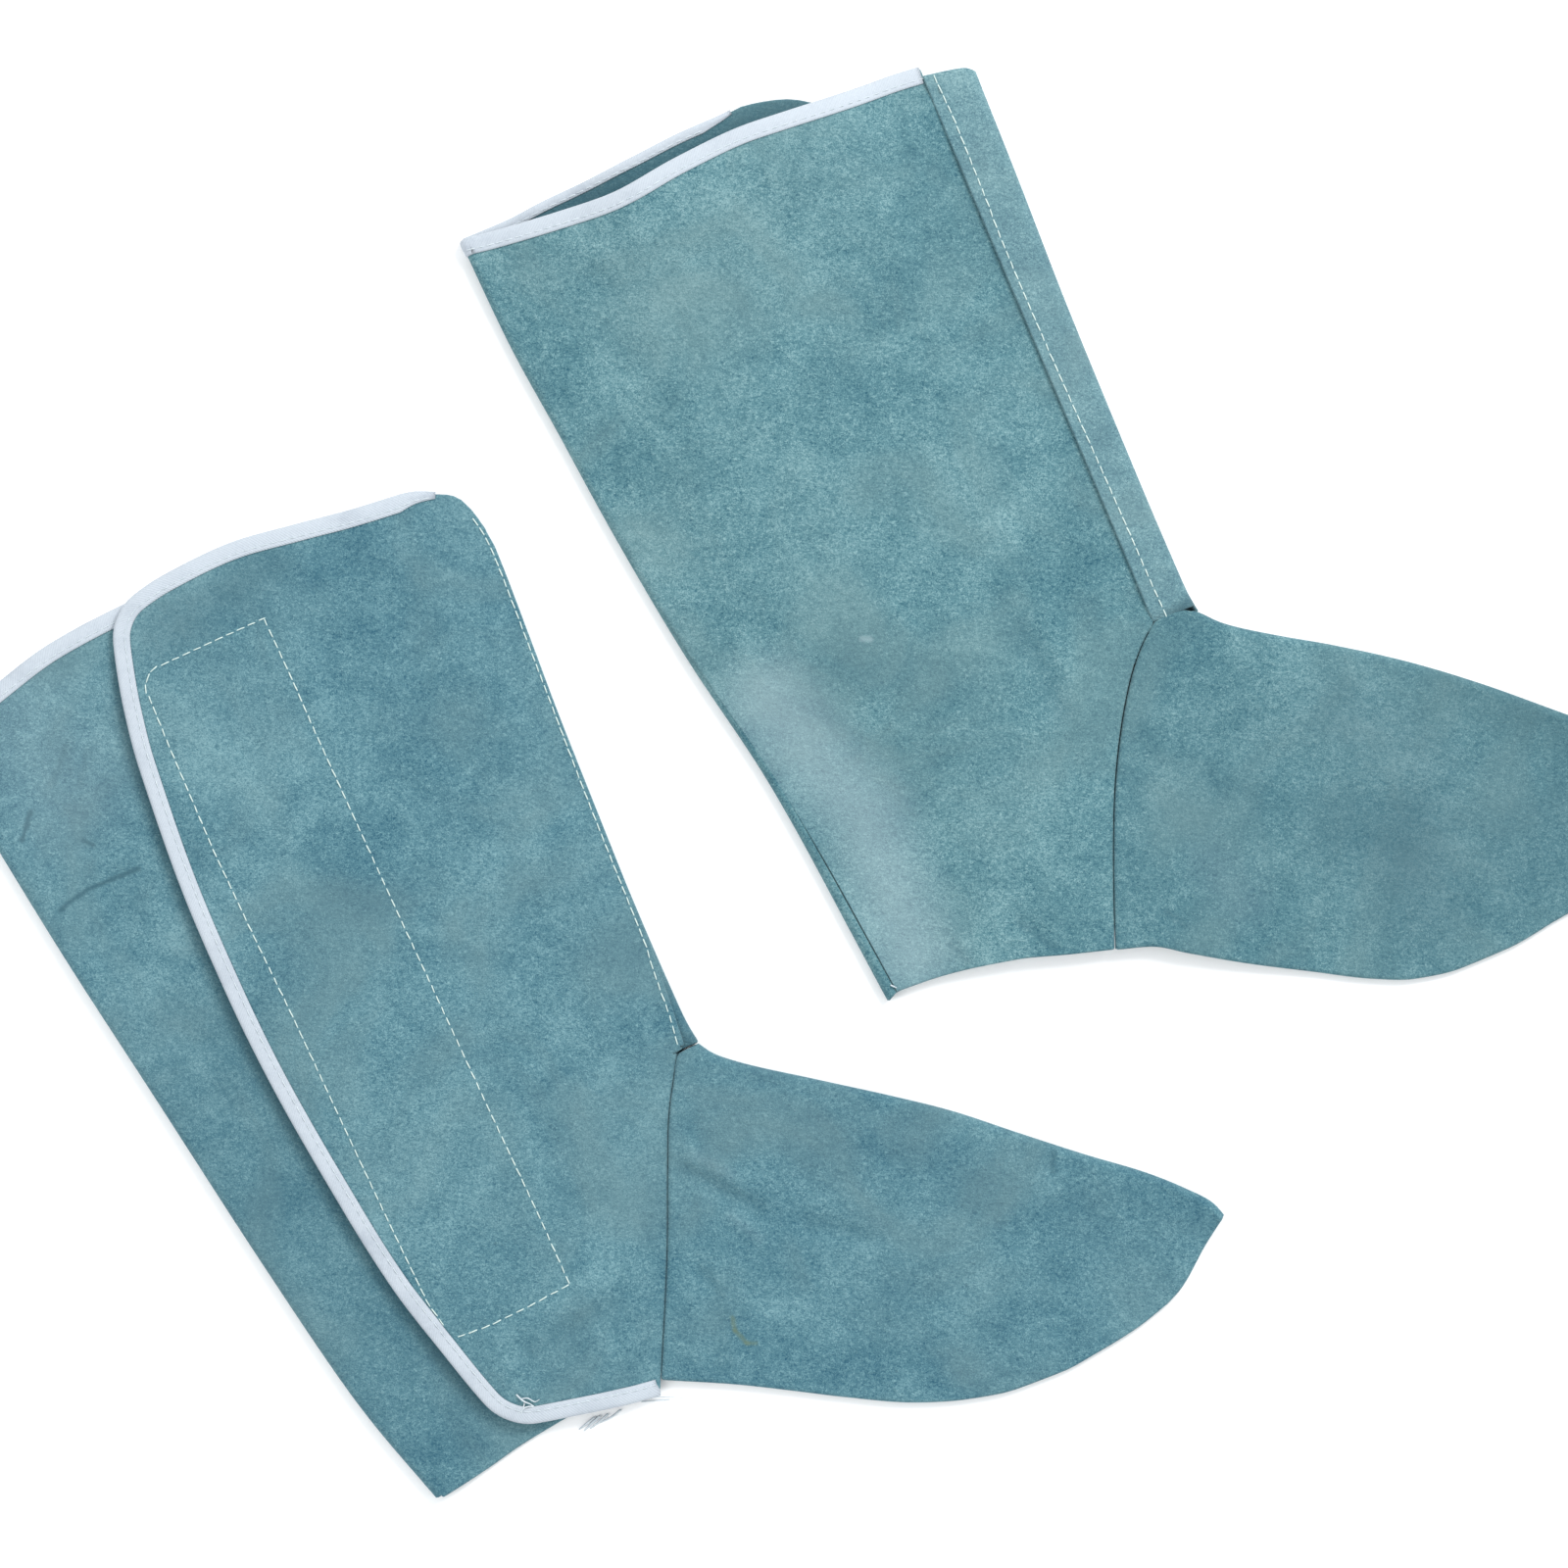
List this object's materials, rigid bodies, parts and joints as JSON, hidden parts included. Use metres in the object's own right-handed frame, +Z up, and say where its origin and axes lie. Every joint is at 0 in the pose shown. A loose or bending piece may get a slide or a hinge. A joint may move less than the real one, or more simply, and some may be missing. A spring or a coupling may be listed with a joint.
{
  "type": "pair of leather spats",
  "caption": "Protective leather spats with bound edges and a folded vamp, lying flat, one outer side up and the other inner side up.",
  "frame": {"origin": "centre of the pair's footprint, on the surface it lies on", "axes": "+Z up from the surface; +X to the right and +Y away from the viewer as the pair is laid out; each spat's toe points along +X, turned 22 degrees towards -Y of its own shin line"},
  "size_m": [0.6642, 0.5316, 0.013],
  "materials": {
    "leather": "blue-green suede split, matt",
    "binding": "white woven tape",
    "closure": "black hook and loop tape"
  },
  "bodies": {
    "root": {"right_outer_panel": "leather", "right_inner_panel": "leather", "right_back_panel": "leather", "right_vamp": "leather", "right_outer_binding": "binding", "right_top_binding": "binding", "right_hook_tape": "closure", "right_loop_tape": "closure", "left_outer_panel": "leather", "left_inner_panel": "leather", "left_back_panel": "leather", "left_vamp": "leather", "left_outer_binding": "binding", "left_top_binding": "binding", "left_hook_tape": "closure", "left_loop_tape": "closure"}
  },
  "joints": []
}
